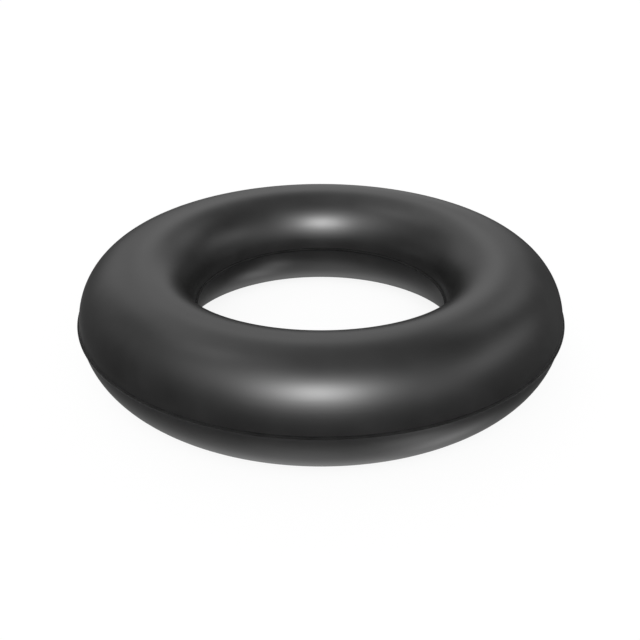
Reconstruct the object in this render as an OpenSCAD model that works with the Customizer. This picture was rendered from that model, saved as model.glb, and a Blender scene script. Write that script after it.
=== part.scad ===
// Moulded rubber o-ring, lying flat, with its centre at the origin and +Z along its axis.
// Its section is a true circle. Where the two halves of the mould met, halfway up, a thin
// ridge of trimmed flash runs round the ring, once along the outside and once along the hole.

/* [Ring] */
// Diameter of the hole, measured between the round faces of the section
inside_d = 12.07; // [6:0.01:60]
// Diameter of the round section
section_d = 5.33; // [3:0.01:8]

/* [Parting line] */
// How far the trimmed flash stands out from the round section
flash_height = 0.10; // [0.06:0.01:0.20]
// Thickness of the flash across its flat trimmed edge
flash_land = 0.06; // [0.03:0.01:0.12]
// Radius of the fillets that run the flash into the round section
flash_fillet = 0.08; // [0.04:0.01:0.20]

/* [Hidden] */
$fn = 256;

// Radius of the section, and of the circle that its centre runs along
section_r = section_d / 2;
centreline_r = (inside_d + section_d) / 2;

// The flash as it is drawn beside the section's centre: half its thickness, and its reach
flash_half = flash_land / 2;
flash_reach = section_r + flash_height;

// A fillet can be no larger than the flash is high. Its circle touches the flat side of the
// flash, and dips into the round section by a hair, so that the two curves cross cleanly.
fillet_r = min(flash_fillet, flash_height);
fillet_dip = 0.001;
fillet_y = flash_half + fillet_r;
fillet_x = sqrt(pow(section_r + fillet_r - fillet_dip, 2) - pow(fillet_y, 2));

// Corner of one fillet: the wedge between the section's centre and the fillet's centre,
// hollowed by the fillet's circle.
module flash_root() {
    difference() {
        polygon([[0, 0], [fillet_x, 0], [fillet_x, fillet_y]]);
        translate([fillet_x, fillet_y]) circle(r = fillet_r);
    }
}

// Flash on the side of the section that faces +X: its flat blade and the fillet on each face.
module flash() {
    translate([0, -flash_half]) square([flash_reach, flash_land]);
    flash_root();
    mirror([0, 1]) flash_root();
}

// The whole section about its own centre: the round body with flash on both sides.
module section() {
    circle(r = section_r);
    flash();
    mirror([1, 0]) flash();
}

// The ring is that section carried once round the axis.
module o_ring() {
    color([0.13, 0.13, 0.13])
        rotate_extrude() translate([centreline_r, 0]) section();
}

o_ring();
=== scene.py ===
# %% [markdown]
# A moulded rubber o-ring, lying flat
#
# An o-ring is one piece of rubber, pressed and cured in a steel mould that opens halfway up the
# ring. Its shape is a circle carried round a larger circle. What tells a real one from a plain
# torus is what the mould leaves: a thin ridge of trimmed flash round the outside and round the
# hole, the faint lines of the lathe that turned the mould, and a satin skin with a little bloom.
# This lesson makes that surface with numpy, gives it a rubber finish made of nodes, and lights
# it as a small studio picture.

# %% Load the measured ring
import math

import bpy
import numpy as np
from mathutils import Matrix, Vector


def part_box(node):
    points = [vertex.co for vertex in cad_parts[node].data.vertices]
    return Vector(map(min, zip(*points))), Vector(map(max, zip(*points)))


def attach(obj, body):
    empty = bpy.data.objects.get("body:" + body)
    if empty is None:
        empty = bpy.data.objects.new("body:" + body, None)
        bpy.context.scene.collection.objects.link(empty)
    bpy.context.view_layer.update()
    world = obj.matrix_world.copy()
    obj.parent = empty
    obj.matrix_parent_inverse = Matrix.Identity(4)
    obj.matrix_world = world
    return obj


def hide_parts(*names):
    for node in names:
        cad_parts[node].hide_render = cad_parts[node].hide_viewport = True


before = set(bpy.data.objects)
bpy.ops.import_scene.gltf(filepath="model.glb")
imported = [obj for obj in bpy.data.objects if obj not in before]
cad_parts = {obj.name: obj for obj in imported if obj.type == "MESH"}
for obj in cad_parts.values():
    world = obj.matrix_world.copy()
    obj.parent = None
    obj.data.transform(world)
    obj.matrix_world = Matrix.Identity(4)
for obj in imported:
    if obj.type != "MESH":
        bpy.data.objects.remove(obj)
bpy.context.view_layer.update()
MM = 0.001

# %% [markdown]
# The ring's sizes
#
# The measured solid gives the two sizes that matter: how far the ring reaches across, flash and
# all, and how thick it is. The flash is too thin to read from a box, so its height and its land
# are named here in millimetres, as in the solid. Its fillets are a little smaller than the
# solid's, because the dark line that they draw in the photograph is only three pixels wide.

# %% Sizes of the ring, from the solid
ring_low, ring_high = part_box("o_ring")
SECTION_R = (ring_high[2] - ring_low[2]) / 2
FLASH_HEIGHT = 0.10 * MM
FLASH_LAND = 0.06 * MM
FLASH_FILLET = 0.045 * MM
FLASH_REACH = SECTION_R + FLASH_HEIGHT
CENTRELINE_R = (ring_high[0] - ring_low[0]) / 2 - FLASH_REACH
print(f"section {2 * SECTION_R / MM:.2f} mm, centreline radius {CENTRELINE_R / MM:.3f} mm")

# %% [markdown]
# The section, as one closed outline
#
# The ridge of flash could be a bump in the material, but a bump vanishes in profile, and it is in
# profile that the photograph shows it. So the outline is drawn as the mould cuts it: a fillet
# turns the skin outwards, and a flat blade ends in a trimmed edge. One quarter of the flash is
# worked out, and the other three are its mirror images, joined by an arc over the top and one
# below. Each arc is a centre, a radius and two angles, and its points are found all at once.

# %% Outline of the section
BODY_STEPS = 62
FILLET_STEPS = 5
EDGE_STEPS = 2
EDGE_RADIUS = 0.014 * MM


def arc(centre, radius, start, end, steps, closed=False):
    """Centre plus radius times (cosine, sine) of an angle that runs evenly from start to end. The
    end point is left to the next stretch unless closed is true."""
    angle = np.linspace(start, end, steps + closed, endpoint=closed)
    return np.array(centre) + radius * np.stack([np.cos(angle), np.sin(angle)], axis=1)


def flash_quarter():
    """Upper half of the flash that faces +X: the middle of its edge, the rounded corner, the flat
    side, and the fillet up to the round section. The fillet's circle touches both the flat side
    and the round section, so its centre is a right-angled triangle away from the section's
    centre. Also gives the polar angle at which the fillet meets the round section."""
    half = FLASH_LAND / 2
    rise = half + FLASH_FILLET
    run = math.sqrt((SECTION_R + FLASH_FILLET) ** 2 - rise ** 2)
    meeting = math.atan2(rise, run)
    middle = np.array([[FLASH_REACH, 0.0]])
    corner_centre = (FLASH_REACH - EDGE_RADIUS, half - EDGE_RADIUS)
    corner = arc(corner_centre, EDGE_RADIUS, 0, math.pi / 2, EDGE_STEPS, closed=True)
    fillet = arc((run, rise), FLASH_FILLET, -math.pi / 2, meeting - math.pi, FILLET_STEPS)
    return np.concatenate([middle, corner, fillet]), meeting


def section_outline():
    """The whole outline, counter-clockwise from the middle of the outer edge: a quarter of flash,
    the arc over the top, both quarters at the hole, the arc below, and the last quarter."""
    quarter, meeting = flash_quarter()
    over = arc((0, 0), SECTION_R, meeting, math.pi - meeting, BODY_STEPS, closed=True)
    mirror_x, mirror_y = np.array([-1, 1]), np.array([1, -1])
    hole_upper = (quarter * mirror_x)[::-1]
    hole_lower = -quarter[1:]
    outer_lower = (quarter * mirror_y)[:0:-1]
    return np.concatenate([quarter, over, hole_upper, hole_lower, -over, outer_lower])


outline = section_outline()
print(f"outline of {len(outline)} points, flash {FLASH_HEIGHT / MM:.2f} mm high")

# %% [markdown]
# The trim of the flash
#
# Flash is torn or tumbled off after moulding, so what is left is never quite even. A random
# height at each step would look like a saw. Instead a few slow waves are added, each with its
# own number of turns round the ring and its own phase, which gives a ridge that is fuller in
# some places and barer in others and still meets itself where the ring closes. The waves only
# take height away, so the ring never grows past its measured size.

# %% How much of the flash is worn away round the ring
ROUND_STEPS = 600
MOST_WORN = 0.06
TRIM_WAVES = np.array([3, 5, 8, 13, 21, 34, 55, 89])

turn = np.arange(ROUND_STEPS) * 2 * math.pi / ROUND_STEPS


def trim_wear(seed):
    """Sum of cosines of whole numbers of turns, each weaker by the square root of its number,
    scaled to run from 0 to 1."""
    phase = np.random.default_rng(seed).uniform(0, 2 * math.pi, len(TRIM_WAVES))
    waves = np.cos(TRIM_WAVES * turn[:, None] + phase) / np.sqrt(TRIM_WAVES)
    total = waves.sum(axis=1)
    return (total - total.min()) / np.ptp(total)


outer_wear = trim_wear(seed=11)
hole_wear = trim_wear(seed=29)
print(f"flash keeps {1 - MOST_WORN * outer_wear.max():.2f} to 1 of its height")

# %% [markdown]
# The outline carried round the ring
#
# Spin or a screw modifier would turn the outline round, but could not wear the flash on the way.
# So the surface is a function of two parameters: how far round the ring, and how far along the
# outline. It is worked out as one array of points, and the faces join each point to its
# neighbours, with both directions closing on themselves, so there is no seam and no pole.

# %% Surface of the ring


def ring_points():
    """Point at (turn, outline place): the distance from the axis is the centreline radius plus
    the outline's reach, less what trimming took from the part that stands out of the round
    section. The height is the outline's own."""
    across, up = outline[:, 0], outline[:, 1]
    stands_out = np.clip(np.hypot(across, up) - SECTION_R, 0, None)
    wear = np.where(across > 0, outer_wear[:, None], hole_wear[:, None])
    distance = CENTRELINE_R + across - np.sign(across) * MOST_WORN * wear * stands_out
    height = np.broadcast_to(up, distance.shape)
    x, y = np.cos(turn)[:, None], np.sin(turn)[:, None]
    return np.stack([distance * x, distance * y, height], axis=2)


def closed_grid_mesh(name, points, finish):
    """Mesh of a grid of points that closes in both directions. Each face joins a point, the next
    one round, the one past that along the outline, and its own next along the outline. Finish
    holds the material's place for each stretch along the outline."""
    rounds, along = points.shape[:2]
    first, second = np.meshgrid(np.arange(rounds), np.arange(along), indexing="ij")
    next_first, next_second = (first + 1) % rounds, (second + 1) % along
    corners = [first * along + second, next_first * along + second]
    corners += [next_first * along + next_second, first * along + next_second]
    faces = np.stack(corners, axis=2).reshape(-1, 4)
    mesh = bpy.data.meshes.new(name)
    mesh.vertices.add(rounds * along)
    mesh.vertices.foreach_set("co", points.reshape(-1).astype(np.float32))
    mesh.loops.add(faces.size)
    mesh.loops.foreach_set("vertex_index", faces.reshape(-1).astype(np.int32))
    mesh.polygons.add(len(faces))
    mesh.polygons.foreach_set("loop_start", np.arange(0, faces.size, 4, dtype=np.int32))
    mesh.polygons.foreach_set("use_smooth", np.ones(len(faces), dtype=bool))
    mesh.polygons.foreach_set("material_index", np.tile(finish, rounds).astype(np.int32))
    mesh.update(calc_edges=True)
    mesh.validate()
    return mesh


def stretch_finish():
    """Place of each stretch's material: 0 for moulded skin, and 1 on the outside and 2 at the hole
    for the torn flash and its fillets, whose darker material paints the shade of the crease. A
    stretch takes it if its middle is nearer the parting line than the place where the fillet
    meets the round section."""
    height = np.abs(outline[:, 1] + np.roll(outline[:, 1], -1)) / 2
    # The flash and its fillets take the darker material, which paints the shade of the crease.
    torn_and_shaded = height < SECTION_R * math.sin(flash_quarter()[1])
    return torn_and_shaded * np.where(outline[:, 0] > 0, 1, 2)


ring_mesh = closed_grid_mesh("moulded_ring", ring_points(), stretch_finish())
ring = bpy.data.objects.new("moulded_ring", ring_mesh)
bpy.context.scene.collection.objects.link(ring)
print(f"moulded_ring: {len(ring_mesh.polygons)} faces, {2 * len(ring_mesh.polygons)} triangles")

# %% [markdown]
# Small helpers for node trees
#
# A material is a tree of nodes. A few helpers keep the rest readable: one adds a node and fills
# its inputs, from values or from other nodes' outputs, and one starts a node group with named
# sockets, so that an effect is built once and used with different values. The others are short
# ways to write the nodes that are used most.

# %% Helpers for node trees


def add_node(tree, kind, settings=None, **inputs):
    """Adds a node, sets its own settings, then fills each named input with a value or a link. An
    input name's underscores stand for spaces, and a number after in_ is the input's place."""
    node = tree.nodes.new(kind)
    for name, value in (settings or {}).items():
        setattr(node, name, value)
    for name, value in inputs.items():
        place = int(name[3:]) if name.startswith("in_") else name.replace("_", " ")
        if isinstance(value, bpy.types.NodeSocket):
            tree.links.new(value, node.inputs[place])
        else:
            node.inputs[place].default_value = value
    return node


def math_node(tree, operation, first, second=0.0):
    """Output of a Math node."""
    settings = {"operation": operation}
    return add_node(tree, "ShaderNodeMath", settings, in_0=first, in_1=second).outputs[0]


def vector_node(tree, operation, first, **others):
    """A Vector Math node, whose output is picked by the caller."""
    return add_node(tree, "ShaderNodeVectorMath", {"operation": operation}, in_0=first, **others)


def bumped_normal(tree, depth, height, **others):
    """Normal of a surface that a height from 0 to 1 bumps by that depth in metres."""
    settings = {"Strength": 1.0, "Distance": depth, "Height": height}
    return add_node(tree, "ShaderNodeBump", **settings, **others).outputs[0]


def mixed_colour(tree, share, first, second):
    """Colour that runs from the first to the second as share runs from 0 to 1."""
    settings = {"data_type": "RGBA"}
    return add_node(tree, "ShaderNodeMix", settings, in_0=share, in_6=first, in_7=second).outputs[2]


def mixed_shader(tree, share, first, second):
    """Shader that runs from the first to the second as share runs from 0 to 1."""
    return add_node(tree, "ShaderNodeMixShader", in_0=share, in_1=first, in_2=second).outputs[0]


def noise_of_size(tree, size, **inputs):
    """Output of a Noise node whose features have a size in metres. Its scale is one over that."""
    density = math_node(tree, "DIVIDE", 1.0, size)
    return add_node(tree, "ShaderNodeTexNoise", Scale=density, **inputs).outputs["Fac"]


def new_group(name, inputs, outputs):
    """A shader node group. Each input is a name, a socket type and a first value, and each output
    a name and a socket type. Gives the tree, its input node and its output node."""
    tree = bpy.data.node_groups.new(name, "ShaderNodeTree")
    for label, kind, value in inputs:
        socket = tree.interface.new_socket(label, in_out="INPUT", socket_type=kind)
        if value is not None:
            socket.default_value = value
    for label, kind in outputs:
        tree.interface.new_socket(label, in_out="OUTPUT", socket_type=kind)
    return tree, tree.nodes.new("NodeGroupInput"), tree.nodes.new("NodeGroupOutput")


def place_group(tree, group, **inputs):
    """Places a node group in a tree and fills its named inputs."""
    return add_node(tree, "ShaderNodeGroup", {"node_tree": group}, **inputs)


# %% [markdown]
# Lathe lines from the mould
#
# Each half of the mould is turned on a lathe, and polishing leaves faint lines that run round
# the ring. A stretched texture would need a seam somewhere. Noise that is read only by distance
# from the axis and by height has the same value all the way round, so it is lines by itself. A
# little of the place round the ring is added, so that a line fades in and out on its way.

# %% Group: lathe lines
LINE_WIDTH = 0.1 * MM
LINE_FADE = 0.02
LINE_NOISE = {"Detail": 2.0, "Roughness": 0.6}


def lathe_lines_group():
    """Noise over (distance from the axis, height), with a small share of the place itself. The
    distance is the square root of X squared plus Y squared."""
    tree, source, sink = new_group(
        "lathe_lines",
        [
            ("Vector", "NodeSocketVector", None),
            ("Line Width", "NodeSocketFloat", LINE_WIDTH),
            ("Fade", "NodeSocketFloat", LINE_FADE),
        ],
        [("Height", "NodeSocketFloat")],
    )
    vector = source.outputs["Vector"]
    place = add_node(tree, "ShaderNodeSeparateXYZ", Vector=vector)
    x_squared = math_node(tree, "POWER", place.outputs["X"], 2.0)
    y_squared = math_node(tree, "POWER", place.outputs["Y"], 2.0)
    distance = math_node(tree, "SQRT", math_node(tree, "ADD", x_squared, y_squared))
    profile = add_node(tree, "ShaderNodeCombineXYZ", X=distance, Y=place.outputs["Z"])
    faded = vector_node(tree, "SCALE", vector, Scale=source.outputs["Fade"])
    both = vector_node(tree, "ADD", profile.outputs[0], in_1=faded.outputs[0])
    width = source.outputs["Line Width"]
    lines = noise_of_size(tree, width, Vector=both.outputs[0], **LINE_NOISE)
    tree.links.new(lines, sink.inputs["Height"])
    return tree


lathe_lines = lathe_lines_group()
print(f"lathe lines about {LINE_WIDTH / MM:.2f} mm apart")

# %% [markdown]
# Bloom and grain
#
# Wax and sulphur creep out of cured rubber and leave a dull haze in soft clouds, which is why a
# black ring is never one black. Under it the skin has a very fine grain. Both are noise, one
# broad and one fine, so one group gives them both, each on its own output.

# %% Group: rubber skin
CLOUD_SIZE = 2.5 * MM
GRAIN_SIZE = 0.06 * MM
CLOUD_NOISE = {"Detail": 3.0, "Roughness": 0.55}
GRAIN_NOISE = {"Detail": 1.0}
CLOUD_LIMITS = {"From_Min": 0.35, "From_Max": 0.68}


def rubber_skin_group():
    """Bloom is broad noise, stretched to run from 0 at the lower of its two limits to 1 at the
    upper one. Grain is fine noise."""
    tree, source, sink = new_group(
        "rubber_skin",
        [
            ("Vector", "NodeSocketVector", None),
            ("Cloud Size", "NodeSocketFloat", CLOUD_SIZE),
            ("Grain Size", "NodeSocketFloat", GRAIN_SIZE),
        ],
        [("Bloom", "NodeSocketFloat"), ("Grain", "NodeSocketFloat")],
    )
    vector = source.outputs["Vector"]
    cloud_size = source.outputs["Cloud Size"]
    grain_size = source.outputs["Grain Size"]
    clouds = noise_of_size(tree, cloud_size, Vector=vector, **CLOUD_NOISE)
    bloom = add_node(tree, "ShaderNodeMapRange", Value=clouds, **CLOUD_LIMITS)
    grain = noise_of_size(tree, grain_size, Vector=vector, **GRAIN_NOISE)
    tree.links.new(bloom.outputs[0], sink.inputs["Bloom"])
    tree.links.new(grain, sink.inputs["Grain"])
    return tree


rubber_skin = rubber_skin_group()
print(f"bloom in clouds of {CLOUD_SIZE / MM:.1f} mm, grain of {GRAIN_SIZE / MM:.2f} mm")

# %% [markdown]
# Black rubber
#
# Carbon black leaves the rubber almost no colour of its own, so nearly all that the eye sees is
# the satin reflection of the studio. The roughness sets how wide that reflection spreads. Bloom
# lifts the colour and the roughness a little. Grain and lathe lines are less than a thousandth
# of a millimetre high, which softens the highlight's edge without showing as a pattern.

# %% Material: moulded skin
RUBBER = (0.012, 0.012, 0.012, 1)
BLOOMED = (0.018, 0.018, 0.018, 1)
SATIN, BLOOM_SATIN = 0.29, 0.315
SKIN_SHINE = 0.735
GRAIN_HEIGHT = 0.0006 * MM
LINE_HEIGHT = 0.0008 * MM


def new_material(name, shine):
    """A new material whose Principled shader reflects with that shine. Gives the material, its
    tree, that shader, and the Object coordinates as an output to link from."""
    material = bpy.data.materials.new(name)
    material.use_nodes = True
    tree = material.node_tree
    surface = tree.nodes["Principled BSDF"]
    surface.inputs["Specular IOR Level"].default_value = shine
    return material, tree, surface, add_node(tree, "ShaderNodeTexCoord").outputs["Object"]


def moulded_skin():
    """Principled surface with bloom in its colour and roughness, and grain and lathe lines in its
    normal."""
    material, tree, surface, place = new_material("moulded_skin", SKIN_SHINE)
    skin = place_group(tree, rubber_skin, Vector=place)
    lines = place_group(tree, lathe_lines, Vector=place)
    bloom = skin.outputs["Bloom"]
    rough = add_node(tree, "ShaderNodeMix", Factor=bloom, A=SATIN, B=BLOOM_SATIN)
    grained = bumped_normal(tree, GRAIN_HEIGHT, skin.outputs["Grain"])
    lined = bumped_normal(tree, LINE_HEIGHT, lines.outputs["Height"], Normal=grained)
    tree.links.new(mixed_colour(tree, bloom, RUBBER, BLOOMED), surface.inputs["Base Color"])
    tree.links.new(rough.outputs[0], surface.inputs["Roughness"])
    tree.links.new(lined, surface.inputs["Normal"])
    return material


ring.data.materials.append(moulded_skin())
print(f"moulded skin, roughness {SATIN} to {BLOOM_SATIN}")

# %% [markdown]
# The torn edge, with painted crease shade
#
# The flash has no polished steel to copy. It is torn and pitted, and as dull as a surface can be.
# The thin line blacker than the skin on both sides of it is painted shade. The faces of the flash
# and the narrow fillets beside it, where the crease holds shade, have their own material. It is
# darker than the skin and has much less shine of its own. Seen along the surface, the loose fibres
# of torn rubber catch the light, which is what sheen is for. It lifts the line where it runs round
# the sides of the ring, as the real one shows. The flash at the hole lies in shade, where much
# sheen would draw a light line, so it has a material with less. The skin's own group gives the
# pits and the colour.

# %% Material: torn edge, with painted crease shade
# Both colours are darker than the skin: painted shade for the crease along the flash. Dust varies
# them at random.
TORN_SHADED = (0.004, 0.004, 0.004, 1)
DUSTY_SHADED = (0.010, 0.010, 0.010, 1)
TORN_ROUGHNESS = 1.0
TORN_SHINE = 0.16
OUTSIDE_SHEEN, HOLE_SHEEN = 0.12, 0.07
DUST_SIZE = 0.6 * MM
PIT_SIZE = 0.18 * MM
PIT_DEPTH = 0.006 * MM


def torn_edge_and_shade(name, sheen):
    """Principled surface of full roughness and little shine, pitted by grain three times as large
    as the skin's. Its colour, darker than the skin's, is painted shade for the crease of the flash."""
    material, tree, surface, place = new_material(name, TORN_SHINE)
    surface.inputs["Roughness"].default_value = TORN_ROUGHNESS
    surface.inputs["Sheen Weight"].default_value = sheen
    sizes = {"Cloud_Size": DUST_SIZE, "Grain_Size": PIT_SIZE}
    pits = place_group(tree, rubber_skin, Vector=place, **sizes)
    colour = mixed_colour(tree, pits.outputs["Bloom"], TORN_SHADED, DUSTY_SHADED)
    pitted = bumped_normal(tree, PIT_DEPTH, pits.outputs["Grain"])
    tree.links.new(colour, surface.inputs["Base Color"])
    tree.links.new(pitted, surface.inputs["Normal"])
    return material


ring.data.materials.append(torn_edge_and_shade("torn_shaded_outside", OUTSIDE_SHEEN))
ring.data.materials.append(torn_edge_and_shade("torn_shaded_hole", HOLE_SHEEN))
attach(ring, "root")
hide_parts("o_ring")
print("finishes:", [material.name for material in ring.data.materials])

# %% [markdown]
# The studio round the ring
#
# The satin skin shows every lamp as a soft streak, so the placing of the light is most of the
# picture. A bright soft box over the camera gives the two highlights, front and back. Paler
# panels stand round the room and draw the broad bands along the sides, and light from a table
# below fills the under side. They are painted in the world as round patches that fade out, each
# one a power of how nearly a ray points at it, because a patch has no edge to show in the rubber
# and costs nothing to trace. Each panel is (azimuth, elevation, width, brightness). Azimuth 0 is
# the camera's side and positive is to its right, angles are in degrees, and 1 is white.

# %% Soft panels
WHITE = (1, 1, 1, 1)
ROOM_LIGHT = 0.006
SOFT_BOX = [
    (2, 41, 18, 6.94), (-8, 42, 17, 4.00), (-1, 40, 37, 4.53),
]
HIGH_PANELS = [
    (-56, 49, 40, 0.91), (-107, 63, 17, 1.19), (-146, 55, 26, 0.73),
    (159, 79, 22, 0.22), (13, 45, 94, 0.19),
]
SIDE_PANELS = [
    (55, 24, 29, 0.60), (83, 29, 20, 1.05), (106, 25, 20, 0.73),
    (-109, 25, 24, 0.21), (122, -3, 43, 0.13),
]
BACK_PANELS = [
    (144, 36, 21, 0.80), (-177, 38, 20, 0.85), (174, 13, 29, 0.54),
    (-148, 24, 29, 0.56), (-119, 7, 46, 0.11), (-177, 30, 49, 0.12),
]
TABLE_PANELS = [
    (56, -54, 17, 1.38), (98, -61, 17, 1.44), (157, -62, 35, 0.23),
    (-154, -70, 51, 0.62), (-12, -70, 32, 0.55), (-68, -49, 37, 0.05),
    (-152, -25, 20, 0.11),
]
PANELS = SOFT_BOX + HIGH_PANELS + SIDE_PANELS + BACK_PANELS + TABLE_PANELS


def toward(azimuth, elevation):
    """Direction of length 1 with that azimuth and elevation."""
    turned, raised = math.radians(azimuth), math.radians(elevation)
    level = math.cos(raised)
    return Vector((level * math.sin(turned), -level * math.cos(turned), math.sin(raised)))


def panel_sharpness(width):
    """How steeply a panel fades, so that it is half as bright at half its width."""
    return math.log(2) / (1 - math.cos(math.radians(width / 2)))


def panel_group():
    """Strength times e to the power of Sharpness times (cosine of the angle to Towards, less 1)."""
    tree, source, sink = new_group(
        "soft_panel",
        [
            ("Ray", "NodeSocketVector", None),
            ("Towards", "NodeSocketVector", None),
            ("Sharpness", "NodeSocketFloat", None),
            ("Strength", "NodeSocketFloat", None),
        ],
        [("Light", "NodeSocketFloat")],
    )
    ray = vector_node(tree, "NORMALIZE", source.outputs["Ray"])
    cosine = vector_node(tree, "DOT_PRODUCT", ray.outputs[0], in_1=source.outputs["Towards"])
    fall = math_node(tree, "SUBTRACT", cosine.outputs["Value"], 1.0)
    power = math_node(tree, "MULTIPLY", fall, source.outputs["Sharpness"])
    patch = math_node(tree, "EXPONENT", power)
    light = math_node(tree, "MULTIPLY", patch, source.outputs["Strength"])
    tree.links.new(light, sink.inputs["Light"])
    return tree


def studio_world():
    """White to the camera, and the room with its panels to every other ray."""
    world = bpy.data.worlds.new("studio")
    world.use_nodes = True
    tree = world.node_tree
    tree.nodes.clear()
    ray = add_node(tree, "ShaderNodeTexCoord").outputs["Generated"]
    group = panel_group()
    light = add_node(tree, "ShaderNodeValue").outputs[0]
    light.default_value = ROOM_LIGHT
    for azimuth, elevation, width, strength in PANELS:
        shape = {"Towards": toward(azimuth, elevation), "Sharpness": panel_sharpness(width)}
        panel = place_group(tree, group, Ray=ray, Strength=strength, **shape)
        light = math_node(tree, "ADD", light, panel.outputs["Light"])
    room = add_node(tree, "ShaderNodeBackground", Color=WHITE, Strength=light).outputs[0]
    white = add_node(tree, "ShaderNodeBackground", Color=WHITE).outputs[0]
    rays = add_node(tree, "ShaderNodeLightPath")
    seen = mixed_shader(tree, rays.outputs["Is Camera Ray"], room, white)
    add_node(tree, "ShaderNodeOutputWorld", Surface=seen)
    bpy.context.scene.world = world


studio_world()
print(f"studio with {len(PANELS)} soft panels")

# %% [markdown]
# The floor
#
# The photograph's ring lies in plain white. The floor is a pale card that glows to the camera,
# and only a small share of its brightness comes from the lamps, so the ring's shadow on it stays
# faint. That share is kept by working out how much light falls on the card from all the panels,
# and choosing the card's colour to match. The whole is a hair brighter than white, so the card
# comes out plain white where no shadow falls. A mirror ray from the ring passes the card, and
# meets the table light below it.

# %% Floor
FLOOR_HALF_SIZE = 1.2
FLOOR_BRIGHTNESS = 1.02
LAMP_SHARE = 0.13
PALE = (0.8, 0.8, 0.8, 1)


def light_on_floor():
    """Each panel sends its brightness times its solid angle, which is 2 pi over its sharpness,
    times the sine of its height. The even room light sends pi times its brightness."""
    total = math.pi * ROOM_LIGHT
    for azimuth, elevation, width, strength in PANELS:
        if elevation > 0:
            solid_angle = 2 * math.pi / panel_sharpness(width)
            total += strength * solid_angle * math.sin(math.radians(elevation))
    return total


def floor_material():
    """Camera rays see glow plus a diffuse share, mirror rays see nothing of the card, and all
    others see plain diffuse white."""
    material = bpy.data.materials.new("floor_card")
    material.use_nodes = True
    tree = material.node_tree
    tree.nodes.clear()
    grey = LAMP_SHARE * math.pi / light_on_floor()
    rays = add_node(tree, "ShaderNodeLightPath")
    shaded = add_node(tree, "ShaderNodeBsdfDiffuse", Color=(grey, grey, grey, 1)).outputs[0]
    rest = FLOOR_BRIGHTNESS - LAMP_SHARE
    glow = add_node(tree, "ShaderNodeEmission", Color=WHITE, Strength=rest).outputs[0]
    card = add_node(tree, "ShaderNodeAddShader", in_0=shaded, in_1=glow).outputs[0]
    plain = add_node(tree, "ShaderNodeBsdfDiffuse", Color=PALE).outputs[0]
    clear = add_node(tree, "ShaderNodeBsdfTransparent").outputs[0]
    unseen = mixed_shader(tree, rays.outputs["Is Glossy Ray"], plain, clear)
    both = mixed_shader(tree, rays.outputs["Is Camera Ray"], unseen, card)
    add_node(tree, "ShaderNodeOutputMaterial", Surface=both)
    return material


def floor_plane():
    """One square face under the ring, centred on its axis."""
    size = FLOOR_HALF_SIZE
    corners = [(-size, -size, 0), (size, -size, 0), (size, size, 0), (-size, size, 0)]
    mesh = bpy.data.meshes.new("floor")
    mesh.from_pydata(corners, [], [(0, 1, 2, 3)])
    mesh.materials.append(floor_material())
    plane = bpy.data.objects.new("floor", mesh)
    plane.location.z = ring_low[2]
    bpy.context.scene.collection.objects.link(plane)
    return plane


floor_plane()
print(f"light on the floor {light_on_floor():.2f}, of which a share of {LAMP_SHARE} is shown")

# %% [markdown]
# The camera
#
# Two ellipses, the ring's outline and its hole, fix the camera: how high it looks from, how
# near it stands, and how wide it sees. It aims at a point a little below the ring, which lifts
# the ring in the frame as in the photograph, so the lens needs no shift.

# %% Camera
CAMERA_ELEVATION = 26.731
CAMERA_DISTANCE = 4.6707 * CENTRELINE_R
AIM = Vector((-0.0049 * CENTRELINE_R, 0, -0.1361 * CENTRELINE_R))
FRAME_PIXELS, FOCAL_PIXELS = 640, 836.5
SENSOR_WIDTH = 36
NEAREST_SEEN = 1 * MM


def studio_camera():
    """Camera on the front side, looking along +Y and down, at the aiming point."""
    lens = bpy.data.cameras.new("camera")
    lens.sensor_fit = "HORIZONTAL"
    lens.sensor_width = SENSOR_WIDTH
    lens.lens = FOCAL_PIXELS * SENSOR_WIDTH / FRAME_PIXELS
    lens.clip_start = NEAREST_SEEN
    camera = bpy.data.objects.new("camera", lens)
    camera.location = CAMERA_DISTANCE * toward(0, CAMERA_ELEVATION)
    camera.rotation_euler = (AIM - camera.location).to_track_quat("-Z", "Y").to_euler()
    bpy.context.scene.collection.objects.link(camera)
    bpy.context.scene.camera = camera
    print(f"camera {CAMERA_DISTANCE / MM:.1f} mm away, {lens.lens:.1f} mm lens")


studio_camera()
bpy.context.scene.view_settings.view_transform = "Standard"
